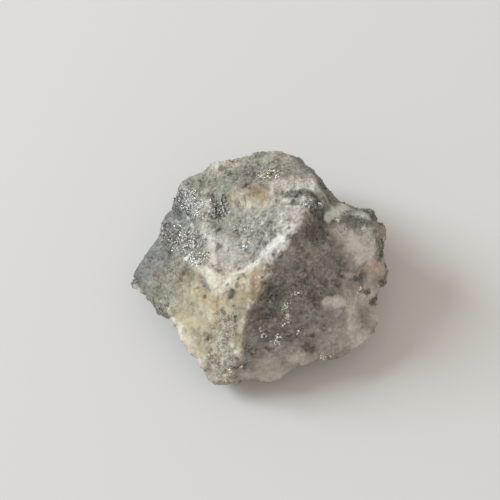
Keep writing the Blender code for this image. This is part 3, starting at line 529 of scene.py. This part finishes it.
def drawn_onto(piece, guide):
    """The places of piece's vertices, in mm, moved out along their normals to the guide."""
    wrap = piece.modifiers.new("wrap", "SHRINKWRAP")
    wrap.wrap_method = "PROJECT"
    wrap.use_positive_direction = True
    wrap.use_negative_direction = False
    wrap.target = guide
    bpy.context.view_layer.update()
    drawn = piece.evaluated_get(bpy.context.evaluated_depsgraph_get()).data
    places = np.empty(len(drawn.vertices) * 3)
    drawn.vertices.foreach_get("co", places)
    piece.modifiers.remove(wrap)
    return places.reshape(-1, 3) / MM


def outward(mesh):
    """Each vertex's outward direction."""
    normals = np.empty(len(mesh.vertices) * 3, np.float32)
    mesh.vertex_normals.foreach_get("vector", normals)
    return normals.reshape(-1, 3).astype(float)


def smooth_step(value, low, high):
    """0 below low, 1 above high, and between them an S curve, 3 squares less 2 cubes."""
    share = np.clip((value - low) / (high - low), 0.0, 1.0)
    return share * share * (3.0 - 2.0 * share)


def scattered(cells, salt=0):
    """A fixed number from -1 to 1 for each whole-number cell: its three coordinates times
    three primes, joined bit by bit, shifted and mixed, and the last 16 bits brought to scale."""
    mixed = np.bitwise_xor.reduce((cells + salt) * CELL_PRIMES, axis=-1)
    mixed = ((mixed ^ (mixed >> 13)) * MIXING_PRIME) & 0xFFFFFFFF
    return ((mixed ^ (mixed >> 16)) & 0xFFFF) / 32767.5 - 1.0


def waves(places, length):
    """Smooth noise from -1 to 1: eight cell corners' numbers, blended by an S curve."""
    cell = np.floor(places / length).astype(np.int64)
    share = smooth_step(places / length - cell, 0.0, 1.0)
    total = np.zeros(len(places))
    for corner in np.ndindex(2, 2, 2):
        weight = np.prod(np.where(corner, share, 1.0 - share), axis=1)
        total += weight * scattered(cell + np.array(corner))
    return total


def grain_cells(places, spacing):
    """The grain that each place is in, of grains strewn about spacing apart: the distance
    to its middle over spacing, its own number, and the height of a plane leaning by 1."""
    home = np.floor(places / spacing).astype(np.int64)
    nearest = np.full(len(places), np.inf)
    number = np.zeros(len(places))
    plane = np.zeros(len(places))
    for step in np.ndindex(3, 3, 3):
        cell = home + np.array(step) - 1
        shake = np.stack([scattered(cell, salt) for salt in SHAKE_SALTS], axis=1)
        lean = np.stack([scattered(cell, salt) for salt in LEAN_SALTS], axis=1)
        reach = places - (cell + 0.5 + GRAIN_SHAKE * shake) * spacing
        gap = np.linalg.norm(reach, axis=1) / spacing
        closer = gap < nearest
        nearest = np.where(closer, gap, nearest)
        number = np.where(closer, scattered(cell, NUMBER_SALT), number)
        plane = np.where(closer, np.sum(reach * lean, axis=1), plane)
    return nearest, number, plane


def in_space(place, skin):
    """A place of a run, in mm: a triple is one in space already, and a pair is where the
    line of sight through that spot of the camera's view meets the skin. The sight goes
    forward by 1, and to the side by as much as the sensor's spot is off its middle, over
    the lens."""
    if len(place) == 3:
        return place
    across, down = (np.array(place) / FRAME - 0.5) * lens.sensor_width / LENS
    sight = Vector((across, 0.0, 0.0)) - view_up * down - view_back
    return skin.ray_cast(camera.location, sight)[0] / MM


def distance_to_run(places, run, skin):
    """Each place's distance to the nearest stretch of a run of places."""
    run = np.array([in_space(place, skin) for place in run])
    nearest = np.linalg.norm(places - run[0], axis=1)
    for start, end in zip(run[:-1], run[1:]):
        along = end - start
        share = np.clip((places - start) @ along / (along @ along), 0.0, 1.0)
        nearest = np.minimum(nearest, np.linalg.norm(places - start - share[:, None] * along, axis=1))
    return nearest


def nearness(places, run, reach, skin):
    """1 on a run of places, falling in an S curve to 0 at its reach."""
    return 1.0 - smooth_step(distance_to_run(places, run, skin), 0.0, reach)


def mineral_shares(places, skin):
    """Each mineral's share at each place: its cover in the heart of a patch, falling to 0
    past its reach, with the distance made longer or shorter by noise so that the rim
    wanders."""
    stray = sum(weight * waves(places + shift, length) for length, weight, shift in PATCH_BAYS)
    shares = {}
    for name, patches in MINERALS.items():
        best = np.zeros(len(places))
        for cover, reach, *run in patches:
            gap = distance_to_run(places, run, skin) / reach + PATCH_WANDER * stray
            best = np.maximum(best, cover * (1.0 - smooth_step(gap, *PATCH_RIM)))
        shares[name] = best
    return shares


def layered(shares, values, ground):
    """One value at each place: the ground's, covered in turn by each mineral's own."""
    result = np.full(len(shares["ore"]), float(ground))
    for name, share in shares.items():
        result += (values[name] - result) * np.minimum(ROUGHNESS_GAIN * share, 1.0)
    return result


def relief(places, shares, rough, skin):
    """The height over the guide: swells, leaning chips, waves, domed grains and the ore's
    pits, as rough as the mineral is. The lip is raised and the groove beside it cut in an S
    curve, and the crest is drawn to an edge: its rise times 1 - gap / reach, squared."""
    height = np.zeros(len(places))
    for rise, reach, *run in SWELLS:
        height += rise * nearness(places, run, reach, skin)
    for spacing, slope in CHIPS:
        height += slope * grain_cells(places, spacing)[2] * (CHIPS_KEPT + (1 - CHIPS_KEPT) * rough)
    for length, rise in WAVES:
        height += rise * waves(places, length) * (WAVES_KEPT + (1 - WAVES_KEPT) * rough)
    for spacing, rise in GRAINS:
        height += rise * (GRAIN_DOME - grain_cells(places, spacing)[0] ** 2) * rough
    spacing, depth, shift = PITS
    gap, number, _ = grain_cells(places + shift, spacing)
    pits = np.maximum(shares["ore"], shares["dark"]) * (number > PIT_LEAST)
    height -= depth * pits * (1.0 - smooth_step(gap, *PIT_WALL))
    height += LIP_RISE * nearness(places, LIP, LIP_REACH, skin)
    crest = 1.0 - distance_to_run(places, CREST, skin) / CREST_REACH
    height += CREST_RISE * np.clip(crest, 0.0, 1.0) ** 2
    height -= GROOVE_DEPTH * nearness(places, GROOVE, GROOVE_REACH, skin)
    return height * smooth_step(places[:, 2], *SEAT_RISE)


places, quads = ball_grid(GRID, BALL_RADIUS, BALL_MIDDLE)
stone = new_piece("rock_surface", places, quads)
guide = merged_copy(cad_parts["stone"])
places = drawn_onto(stone, guide)
skin = BVHTree.FromObject(guide, bpy.context.evaluated_depsgraph_get())
bpy.data.objects.remove(guide)
stone.data.vertices.foreach_set("co", (places * MM).ravel())
stone.data.update()
shares = mineral_shares(places, skin)
rough = layered(shares, ROUGHNESS, 1.0)
places = places + outward(stone.data) * relief(places, shares, rough, skin)[:, None]
places[:, 2] = np.maximum(places[:, 2], 0.0)
stone.data.vertices.foreach_set("co", (places * MM).ravel())
stone.data.update()
stone.data.shade_smooth()


def give(mesh, values):
    """Puts named numbers, one for each vertex, on a mesh for its material to read."""
    for name, value in values.items():
        layer = mesh.attributes.new(name, "FLOAT", "POINT")
        layer.data.foreach_set("value", value.astype(np.float32))


ground = {**shares, "rough": rough}
give(stone.data, {**ground, "own_tone": np.zeros(len(places))})

# The tones of the rock and of each mineral, from its pits to its brightest grains, each
# with its place on the scale of tones.
GREY_ROCK = [(0.12, (0.12, 0.113, 0.097)), (0.38, (0.27, 0.256, 0.222)), (0.6, (0.38, 0.363, 0.318)),
             (0.88, (0.60, 0.58, 0.53))]
MINERAL_TONES = {
    "pale": [(0.12, (0.24, 0.216, 0.184)), (0.5, (0.40, 0.367, 0.315)), (0.88, (0.64, 0.60, 0.535))],
    "umber": [(0.12, (0.15, 0.139, 0.129)), (0.5, (0.325, 0.307, 0.287)), (0.88, (0.56, 0.54, 0.52))],
    "fine": [(0.12, (0.085, 0.085, 0.078)), (0.5, (0.20, 0.198, 0.18)), (0.88, (0.36, 0.355, 0.33))],
    "slate": [(0.12, (0.085, 0.097, 0.096)), (0.5, (0.19, 0.208, 0.205)), (0.88, (0.37, 0.39, 0.385))],
    "olive": [(0.12, (0.15, 0.142, 0.11)), (0.5, (0.33, 0.318, 0.262)), (0.88, (0.53, 0.515, 0.45))],
    "green": [(0.12, (0.095, 0.102, 0.085)), (0.5, (0.235, 0.245, 0.21)), (0.88, (0.43, 0.445, 0.40))],
    "brown": [(0.12, (0.11, 0.094, 0.078)), (0.5, (0.27, 0.24, 0.207)), (0.88, (0.48, 0.45, 0.40))],
    "mauve": [(0.12, (0.18, 0.167, 0.16)), (0.5, (0.335, 0.313, 0.303)), (0.88, (0.53, 0.51, 0.495))],
    "dark": [(0.12, (0.055, 0.055, 0.05)), (0.5, (0.15, 0.15, 0.14)), (0.88, (0.31, 0.31, 0.29))],
    "ore": [(0.2, (0.075, 0.08, 0.078)), (0.42, (0.20, 0.21, 0.205)), (0.62, (0.36, 0.37, 0.36)),
            (0.85, (0.85, 0.85, 0.83))],
    "brass": [(0.2, (0.10, 0.088, 0.06)), (0.45, (0.24, 0.22, 0.165)), (0.65, (0.46, 0.43, 0.35)),
              (0.88, (0.93, 0.90, 0.80))],
    "glitter": [(0.2, (0.13, 0.14, 0.14)), (0.4, (0.36, 0.375, 0.37)), (0.58, (0.66, 0.67, 0.65)),
                (0.8, (0.95, 0.95, 0.93))],
    "sandy": [(0.12, (0.28, 0.255, 0.20)), (0.38, (0.45, 0.418, 0.338)), (0.62, (0.60, 0.567, 0.475)),
              (0.9, (0.86, 0.83, 0.74))],
    "beige": [(0.12, (0.40, 0.34, 0.22)), (0.5, (0.54, 0.47, 0.313)), (0.88, (0.69, 0.63, 0.47))],
    "stain": [(0.12, (0.30, 0.215, 0.125)), (0.5, (0.40, 0.295, 0.175)), (0.88, (0.52, 0.42, 0.29))],
    "pink": [(0.12, (0.44, 0.29, 0.235)), (0.5, (0.66, 0.51, 0.44)), (0.88, (0.84, 0.76, 0.69))],
    # Grey quartz, also used as painted light on the hollow's floor.
    "quartz_and_painted_light": [(0.12, (0.37, 0.345, 0.32)), (0.5, (0.53, 0.50, 0.47)), (0.88, (0.72, 0.695, 0.665))],
    "milky": [(0.12, (0.50, 0.455, 0.425)), (0.5, (0.73, 0.69, 0.655)), (0.88, (0.91, 0.88, 0.855))],
    "cream": [(0.12, (0.61, 0.555, 0.45)), (0.5, (0.77, 0.72, 0.62)), (0.88, (0.91, 0.88, 0.80))],
    # Crushed white quartz, also used for the painted glints.
    "white_and_painted_glints": [(0.12, (0.48, 0.465, 0.425)), (0.4, (0.74, 0.722, 0.665)), (0.62, (0.86, 0.848, 0.80)),
              (0.88, (0.96, 0.955, 0.93))],
    "frosty": [(0.12, (0.50, 0.53, 0.515)), (0.5, (0.82, 0.86, 0.84)), (0.88, (0.94, 0.965, 0.955))],
    # Dark glassy quartz, also used as painted shade in a hollow.
    "smoky_and_painted_shade": [(0.12, (0.20, 0.187, 0.168)), (0.5, (0.34, 0.32, 0.295)), (0.88, (0.52, 0.50, 0.475))],
    # Black specks, also used as painted shade and painted shadow.
    "specks_and_painted_shade": [(0.12, (0.05, 0.046, 0.037)), (0.5, (0.145, 0.135, 0.113)), (0.88, (0.30, 0.285, 0.25))],
}

# The clouds of the rock's tone: the size of their lumps, their detail and its roughness.
DRIFT = (4 * MM, 3.0, 0.55)
LUMPS = (0.9 * MM, 3.0, 0.6)
RAGGED = (0.7 * MM, 4.0, 0.7)
LARGE_GRAIN = 1.3 * MM
SMALL_GRAIN = 0.42 * MM

# How far each shifts the tone. Rough rock has the second lumps and the small grains too.
DRIFT_WEIGHT = 0.7
LUMP_WEIGHT, ROUGH_LUMP_WEIGHT = 0.6, 0.6
LARGE_GRAIN_WEIGHT = 0.2
SMALL_GRAIN_WEIGHT = 0.3

# How far single grains and the ragged cloud break up a patch's soft rim.
RIM_GRAIN = 1.2
RIM_RAGGEDNESS = 4.0

METAL = {"ore": 0.2, "brass": 0.35, "glitter": 0.3}  # the share of their grains that is metal
METAL_COLOUR = (0.80, 0.78, 0.72, 1.0)
ROCK_ROUGHNESS, ROCK_ROUGHNESS_RANGE = 0.5, 0.35  # the range is over the grains
METAL_SMOOTHING = 0.35
LARGE_FACET = 0.5  # the slope of the large grains' facets, beside the small ones'
RAGGED_RISE = 0.35 * MM

# The places of a Mix node's sockets for colours, among those for numbers and vectors.
MIX_SHARE, MIX_FIRST, MIX_SECOND, MIX_RESULT = 0, 6, 7, 2


def feed(tree, socket, value):
    """Links an output to a socket, or sets the socket to a plain value."""
    if isinstance(value, bpy.types.NodeSocket):
        tree.links.new(value, socket)
    else:
        socket.default_value = value


def maths(tree, operation, *operands):
    """A Math node's output; each operand is a socket or a number."""
    made = tree.nodes.new("ShaderNodeMath")
    made.operation = operation
    for socket, value in zip(made.inputs, operands):
        feed(tree, socket, value)
    return made.outputs["Value"]


def vector_maths(tree, operation, first, second, output="Vector"):
    """A Vector Math node's output; each operand is a socket or a triple."""
    made = tree.nodes.new("ShaderNodeVectorMath")
    made.operation = operation
    feed(tree, made.inputs[0], first)
    feed(tree, made.inputs[1], second)
    return made.outputs[output]


def tones(tree, tone, stops):
    """A Color Ramp's output, with the given stops."""
    made = tree.nodes.new("ShaderNodeValToRGB")
    elements = made.color_ramp.elements
    while len(elements) < len(stops):
        elements.new(1.0)
    for element, (position, colour) in zip(elements, stops):
        element.position = position
        element.color = (*colour, 1.0)
    tree.links.new(tone, made.inputs["Fac"])
    return made.outputs["Color"]


def blended(tree, share, first, second):
    """A colour Mix node's output."""
    made = tree.nodes.new("ShaderNodeMix")
    made.data_type = "RGBA"
    feed(tree, made.inputs[MIX_SHARE], share)
    feed(tree, made.inputs[MIX_FIRST], first)
    feed(tree, made.inputs[MIX_SECOND], second)
    return made.outputs[MIX_RESULT]


def cloud(tree, place, size, detail, roughness):
    """Noise about 0.5 whose lumps are about size across."""
    made = tree.nodes.new("ShaderNodeTexNoise")
    made.inputs["Scale"].default_value = 1.0 / size
    made.inputs["Detail"].default_value = detail
    made.inputs["Roughness"].default_value = roughness
    tree.links.new(place, made.inputs["Vector"])
    return made.outputs["Fac"]


def grained(tree, place, size):
    """Voronoi grains about size across: three random numbers of each grain, and the height
    of its own leaning facet, which is level at the grain's middle."""
    made = tree.nodes.new("ShaderNodeTexVoronoi")
    made.inputs["Scale"].default_value = 1.0 / size
    tree.links.new(place, made.inputs["Vector"])
    numbers = tree.nodes.new("ShaderNodeSeparateColor")
    tree.links.new(made.outputs["Color"], numbers.inputs["Color"])
    reach = vector_maths(tree, "SUBTRACT", place, made.outputs["Position"])
    lean = vector_maths(tree, "SUBTRACT", made.outputs["Color"], (0.5, 0.5, 0.5))
    return *numbers.outputs, vector_maths(tree, "DOT_PRODUCT", reach, lean, "Value")


def share_of(tree, name):
    """The number of that name on the mesh's points."""
    made = tree.nodes.new("ShaderNodeAttribute")
    made.attribute_name = name
    return made.outputs["Fac"]


def rock_material():
    """Patches of minerals over grey rock. A tone, the sum of weighted noises about their
    middle, picks each mineral's colour. A patch's mask is its share, plus share times 1 less
    share times an unrest of grains and clouds, so that only its rim breaks up."""
    material, tree, shader = new_material("rock")
    place = tree.nodes.new("ShaderNodeTexCoord").outputs["Object"]

    small_tone, small_kind, small_shine, small_facet = grained(tree, place, SMALL_GRAIN)
    large_tone, large_shine, _, large_facet = grained(tree, place, LARGE_GRAIN)
    drift = cloud(tree, place, *DRIFT)
    lumps = cloud(tree, place, *LUMPS)
    ragged = cloud(tree, place, *RAGGED)
    rough = share_of(tree, "rough")
    middle = 0.5 - 0.5 * (DRIFT_WEIGHT + LARGE_GRAIN_WEIGHT)
    tone = maths(tree, "MULTIPLY_ADD", drift, DRIFT_WEIGHT, middle)
    mottle = maths(tree, "MULTIPLY_ADD", rough, ROUGH_LUMP_WEIGHT, LUMP_WEIGHT)
    tone = maths(tree, "MULTIPLY_ADD", maths(tree, "SUBTRACT", lumps, 0.5), mottle, tone)
    tone = maths(tree, "MULTIPLY_ADD", large_tone, LARGE_GRAIN_WEIGHT, tone)
    speckle = maths(tree, "MULTIPLY", maths(tree, "SUBTRACT", small_tone, 0.5), rough)
    tone = maths(tree, "MULTIPLY_ADD", speckle, SMALL_GRAIN_WEIGHT, tone)
    tone = maths(tree, "ADD", tone, share_of(tree, "own_tone"))

    colour = tones(tree, tone, GREY_ROCK)
    unrest = maths(tree, "MULTIPLY_ADD", small_kind, RIM_GRAIN, -0.5 * RIM_GRAIN)
    unrest = maths(tree, "MULTIPLY_ADD", maths(tree, "SUBTRACT", ragged, 0.5), RIM_RAGGEDNESS, unrest)
    metal = 0.0
    for name, stops in MINERAL_TONES.items():
        share = share_of(tree, name)
        rim = maths(tree, "MULTIPLY", share, maths(tree, "SUBTRACT", 1.0, share))
        mask = maths(tree, "MULTIPLY_ADD", rim, unrest, share)
        colour = blended(tree, mask, colour, tones(tree, tone, stops))
        if name in METAL:
            bright = maths(tree, "LESS_THAN", small_shine, METAL[name])
            metal = maths(tree, "MAXIMUM", maths(tree, "MULTIPLY", bright, mask), metal)

    colour = blended(tree, metal, colour, METAL_COLOUR)
    tree.links.new(colour, shader.inputs["Base Color"])
    tree.links.new(metal, shader.inputs["Metallic"])
    roughness = maths(tree, "MULTIPLY_ADD", large_shine, ROCK_ROUGHNESS_RANGE, ROCK_ROUGHNESS)
    roughness = maths(tree, "MULTIPLY_ADD", metal, -METAL_SMOOTHING, roughness)
    tree.links.new(roughness, shader.inputs["Roughness"])

    height = maths(tree, "MULTIPLY_ADD", large_facet, LARGE_FACET, small_facet)
    height = maths(tree, "MULTIPLY_ADD", ragged, RAGGED_RISE, height)
    height = maths(tree, "MULTIPLY", height, rough)
    bump = tree.nodes.new("ShaderNodeBump")
    bump.inputs["Strength"].default_value = 1.0
    bump.inputs["Distance"].default_value = 1.0
    tree.links.new(height, bump.inputs["Height"])
    tree.links.new(bump.outputs["Normal"], shader.inputs["Normal"])
    return material


rock = rock_material()
stone.data.materials.append(rock)
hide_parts("stone")
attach(stone, "root")

# ---------------------------------------------------------------------------
# The loose-looking grains that a fresh break leaves standing on the stone: angular crumbs
# of the rock itself, of whichever mineral they grow from.
# ---------------------------------------------------------------------------
CRUMBS = 9000
CRUMB_SIZES = (0.12, 0.3)  # radius, mm
CRUMB_SMALLNESS = 3  # the power that makes most of them small
CRUMB_ROUGHNESS = 0.45  # rock no rougher than this has none
CRUMB_STRAY = 0.15  # mm
CRUMB_SINK = 0.45  # how deep its middle lies under the skin, over its radius
CRUMB_UNEVENNESS = 0.3
CRUMB_TONES = (-0.2, 0.32)  # lighter or darker than the ground it grows from
CRUMB_SEED = 5


def corner_areas(places, quads):
    """The area that belongs to each vertex: a quarter of each quad round it, whose own area
    is half the cross product of its diagonals."""
    across = places[quads[:, 2]] - places[quads[:, 0]]
    other = places[quads[:, 3]] - places[quads[:, 1]]
    areas = np.linalg.norm(np.cross(across, other), axis=1) / 8
    return np.bincount(quads.ravel(), np.repeat(areas, 4), len(places))


def strewn(chance, count, luck):
    """count different vertices, drawn with the given chances."""
    return luck.choice(len(chance), count, replace=False, p=chance / chance.sum())


def between(ends, share):
    """The number that is a share of the way from the first end to the second."""
    return ends[0] + (ends[1] - ends[0]) * share


def turned_anyhow(count, luck):
    """Rotation matrices from random unit quaternions."""
    four = luck.normal(size=(4, count))
    w, x, y, z = four / np.linalg.norm(four, axis=0)
    return np.array([
        [1 - 2 * (y * y + z * z), 2 * (x * y - z * w), 2 * (x * z + y * w)],
        [2 * (x * y + z * w), 1 - 2 * (x * x + z * z), 2 * (y * z - x * w)],
        [2 * (x * z - y * w), 2 * (y * z + x * w), 1 - 2 * (x * x + y * y)],
    ]).transpose(2, 0, 1)


def solid_shape(make):
    """The corners and faces of one small solid that a bmesh operator makes."""
    shape = bmesh.new()
    make(shape)
    corners = np.array([vertex.co[:] for vertex in shape.verts])
    faces = np.array([[vertex.index for vertex in face.verts] for face in shape.faces])
    shape.free()
    return corners, faces


def many(corners, faces, spots, sizes, turns, unevenness, luck):
    """One small solid at each spot, stretched along each axis and with its corners pushed
    about by the given unevenness, then turned; none reaches below the resting face."""
    count = len(spots)
    stretch = luck.uniform(1 - unevenness, 1 + unevenness, (count, 1, 3))
    push = luck.uniform(1 - unevenness, 1 + unevenness, (count, len(corners), 1))
    shapes = corners * push * stretch * sizes[:, None, None]
    turned = np.einsum("nij,nkj->nki", turns, shapes)
    starts = np.arange(count)[:, None, None] * len(corners)
    places = (turned + spots[:, None, :]).reshape(-1, 3)
    places[:, 2] = np.maximum(places[:, 2], 0.0)
    return places, (faces + starts).reshape(-1, faces.shape[1])


luck = np.random.default_rng(CRUMB_SEED)
lie = outward(stone.data)
areas = corner_areas(places, quads)
chance = areas * np.maximum(rough - CRUMB_ROUGHNESS, 0.0) * smooth_step(places[:, 2], *SEAT_RISE)
rooted = strewn(chance, CRUMBS, luck)
sizes = between(CRUMB_SIZES, luck.random(CRUMBS) ** CRUMB_SMALLNESS)
spots = places[rooted] + luck.uniform(-CRUMB_STRAY, CRUMB_STRAY, (CRUMBS, 3))
spots -= lie[rooted] * sizes[:, None] * CRUMB_SINK
corners, faces = solid_shape(lambda shape: bmesh.ops.create_icosphere(shape, subdivisions=1, radius=1.0))
turns = turned_anyhow(CRUMBS, luck)
crumb_places, crumb_faces = many(corners, faces, spots, sizes, turns, CRUMB_UNEVENNESS, luck)
crumbs = new_piece("crumbs", crumb_places, crumb_faces)
each = np.repeat(rooted, len(corners))
give(crumbs.data, {name: value[each] for name, value in ground.items()})
give(crumbs.data, {"own_tone": np.repeat(luck.uniform(*CRUMB_TONES, CRUMBS), len(corners))})
crumbs.data.materials.append(rock)
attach(crumbs, "root")

# ---------------------------------------------------------------------------
# The crystals that glint among the ore: tiny tarnished cubes of brassy sulphide, each half
# sunk in the rock, thick on the bright patches and thin on the dark ones. Small clusters
# grew the same way round, with one face up and to the left, and flash in the shade.
# ---------------------------------------------------------------------------
CRYSTALS = 1000
CRYSTAL_SIZES = (0.18, 0.5)  # edge, mm
CRYSTAL_SMALLNESS = 2  # the power that makes most of them small
CRYSTAL_UNEVENNESS = 0.12
CRYSTAL_SEED = 8
CRYSTAL_CHANCE = {"glitter": 1.0, "brass": 0.8, "ore": 0.15, "sandy": 0.02}
SILVERY = [(0.0, (0.26, 0.265, 0.26)), (0.5, (0.62, 0.62, 0.60)), (1.0, (0.97, 0.97, 0.95))]
BRASSY = [(0.0, (0.34, 0.29, 0.20)), (0.5, (0.68, 0.62, 0.47)), (1.0, (0.96, 0.93, 0.83))]
TARNISH, TARNISH_WEIGHT = (0.3 * MM, 2.0, 0.5), 0.8  # size, detail and its roughness
CRYSTAL_ROUGHNESS, CRYSTAL_SHINE = 0.5, 0.25  # a bright tone is smoother by the second

# Each cluster: how many crystals, how far they spread in mm, and its spot in the camera's view.
CLUSTERS = [(8, 1.0, (287, 307)), (6, 0.6, (288, 319)), (12, 0.9, (277, 339)),
            (2, 0.4, (283, 324)), (3, 0.3, (298, 333)), (4, 0.5, (263, 336)),
            (4, 0.6, (297, 292)), (4, 0.4, (322, 356)), (4, 0.3, (360, 289)),
            (4, 0.3, (337, 221)), (4, 0.3, (363, 229)), (2, 0.6, (320, 205)),
            (4, 0.6, (231, 370)), (3, 0.4, (241, 367))]
CLUSTER_WAY = (-0.47, -0.12, 0.87)  # where their top faces point
CLUSTER_STRAY = 0.07  # how far a face strays from it, over its length
CLUSTER_SIZES = (0.35, 0.6)  # edge, mm


def crystal_material():
    """Metal whose tone is each crystal's own number plus a weighted cloud about 0. The tone
    picks the colour, silvery or brassy, and a bright one is smoother."""
    material, tree, shader = new_material("sulphide")
    shader.inputs["Metallic"].default_value = 1.0
    place = tree.nodes.new("ShaderNodeTexCoord").outputs["Object"]
    tarnish = cloud(tree, place, *TARNISH)
    tone = maths(tree, "MULTIPLY_ADD", tarnish, TARNISH_WEIGHT, -0.5 * TARNISH_WEIGHT)
    tone = maths(tree, "ADD", tone, share_of(tree, "own_tone"))
    colour = blended(tree, share_of(tree, "brass"), tones(tree, tone, SILVERY), tones(tree, tone, BRASSY))
    tree.links.new(colour, shader.inputs["Base Color"])
    roughness = maths(tree, "MULTIPLY_ADD", tone, -CRYSTAL_SHINE, CRYSTAL_ROUGHNESS)
    tree.links.new(roughness, shader.inputs["Roughness"])
    return material


def turned_near(way, stray, count, luck):
    """Rotation matrices that point Z along a way, off it by a normal draw of stray."""
    ways = np.array(way) + luck.normal(scale=stray, size=(count, 3))
    return np.array([Vector(own_way).to_track_quat("Z", "Y").to_matrix() for own_way in ways])


def gathered(count, spread, place):
    """Vertices drawn round a place, with a chance that falls off as a bell curve."""
    gap = np.linalg.norm(places - np.array(in_space(place, skin)), axis=1)
    return strewn(areas * np.exp(-(gap / spread) ** 2), count, luck)


luck = np.random.default_rng(CRYSTAL_SEED)
chance = areas * sum(weight * shares[name] for name, weight in CRYSTAL_CHANCE.items())
rooted = strewn(chance * smooth_step(places[:, 2], *SEAT_RISE), CRYSTALS, luck)
clustered = np.concatenate([gathered(*cluster) for cluster in CLUSTERS])
sizes = between(CRYSTAL_SIZES, luck.random(CRYSTALS) ** CRYSTAL_SMALLNESS)
sizes = np.append(sizes, luck.uniform(*CLUSTER_SIZES, len(clustered)))
turns = np.concatenate([turned_anyhow(CRYSTALS, luck),
                        turned_near(CLUSTER_WAY, CLUSTER_STRAY, len(clustered), luck)])
rooted = np.append(rooted, clustered)
corners, faces = solid_shape(lambda shape: bmesh.ops.create_cube(shape, size=1.0))
spots = places[rooted]
crystal_places, crystal_faces = many(corners, faces, spots, sizes, turns, CRYSTAL_UNEVENNESS, luck)
crystals = new_piece("crystals", crystal_places, crystal_faces)
each = np.repeat(rooted, len(corners))
own_tone = np.append(luck.random(CRYSTALS), np.ones(len(clustered)))
give(crystals.data, {"own_tone": np.repeat(own_tone, len(corners)),
                     "brass": np.maximum(shares["brass"], shares["sandy"])[each]})
crystals.data.materials.append(crystal_material())
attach(crystals, "root")
